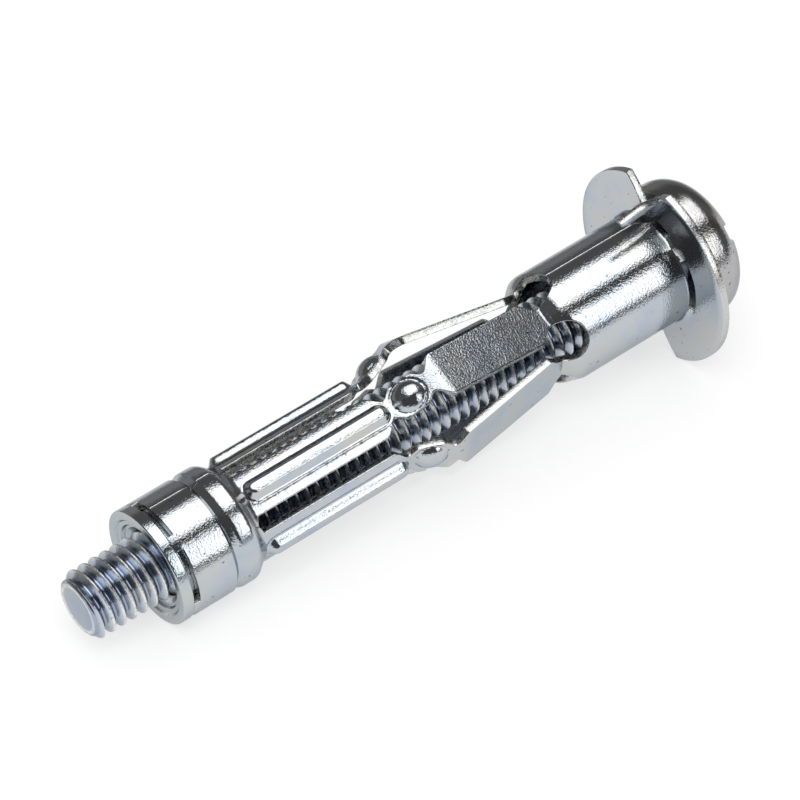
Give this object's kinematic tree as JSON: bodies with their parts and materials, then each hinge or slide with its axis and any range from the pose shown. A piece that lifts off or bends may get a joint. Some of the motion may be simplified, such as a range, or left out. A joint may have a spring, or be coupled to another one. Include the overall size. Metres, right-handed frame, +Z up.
{
  "type": "hollow wall anchor",
  "caption": "Zinc-plated metal hollow wall anchor: a slotted sheet-steel sleeve with a two-lobed flange and spurs, a captive nut and a pan-head machine screw.",
  "frame": {"origin": "centre of the bounding box's footprint, on the surface that the anchor lies on", "axes": "+Z up; the screw's head and the flange are towards +X and its threaded tip towards -X; the screw's axis rises by 3.86 degrees towards +X, as the anchor comes to rest on its flange and its nut"},
  "size_m": [0.065, 0.0178, 0.0171],
  "materials": {
    "sleeve_zinc": "bright zinc-plated sheet steel, polished",
    "nut_zinc": "bright zinc-plated steel, turned",
    "screw_zinc": "bright blue zinc-plated steel"
  },
  "bodies": {
    "anchor": {"sleeve": "sleeve_zinc", "nut": "nut_zinc"},
    "screw": {"screw": "screw_zinc"}
  },
  "joints": [
    {"name": "screw_turn", "type": "hinge", "parent": "anchor", "child": "screw", "pos_m": [-0.00237, 0, 0.00662], "axis": [0.9977, 0, 0.0674], "continuous": true}
  ]
}
